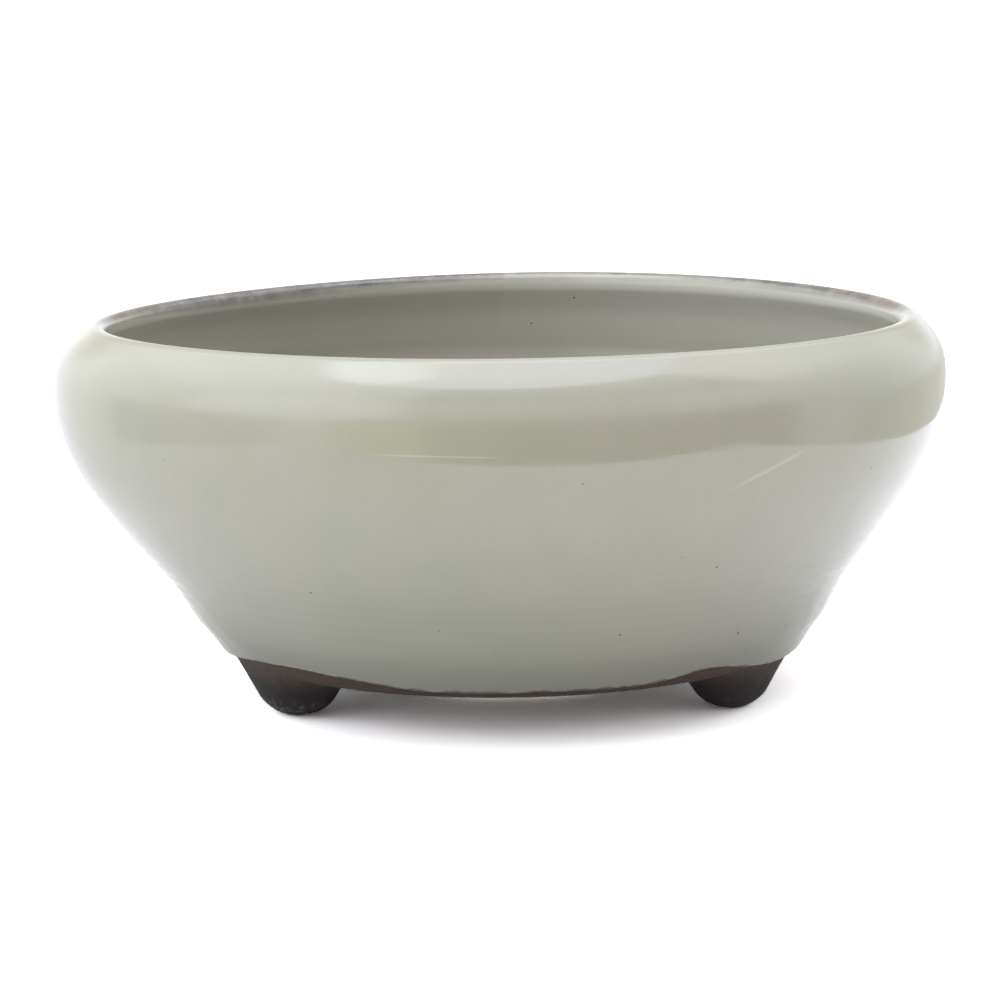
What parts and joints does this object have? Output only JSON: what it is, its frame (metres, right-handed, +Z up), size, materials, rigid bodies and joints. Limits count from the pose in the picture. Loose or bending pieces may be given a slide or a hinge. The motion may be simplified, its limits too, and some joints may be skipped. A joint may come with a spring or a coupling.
{
  "type": "bonsai pot",
  "caption": "Round shallow bonsai pot with an incurved rim, pale celadon glaze over dark clay, low separate feet and a drainage hole in its flat floor.",
  "frame": {"origin": "on the ground, in the middle of the ring of feet, on the pot's axis", "axes": "+Z up along the pot's axis; -Y towards the front, between the two front feet; +X to the right seen from the front"},
  "size_m": [0.18, 0.18, 0.0765],
  "materials": {
    "clay": "unglazed dark brown stoneware, matt",
    "glaze": "glossy pale grey-green celadon"
  },
  "bodies": {
    "root": {"bowl": "clay", "glaze_coat": "glaze", "foot_front_left": "clay", "foot_front_right": "clay", "foot_rear": "clay"}
  },
  "joints": []
}
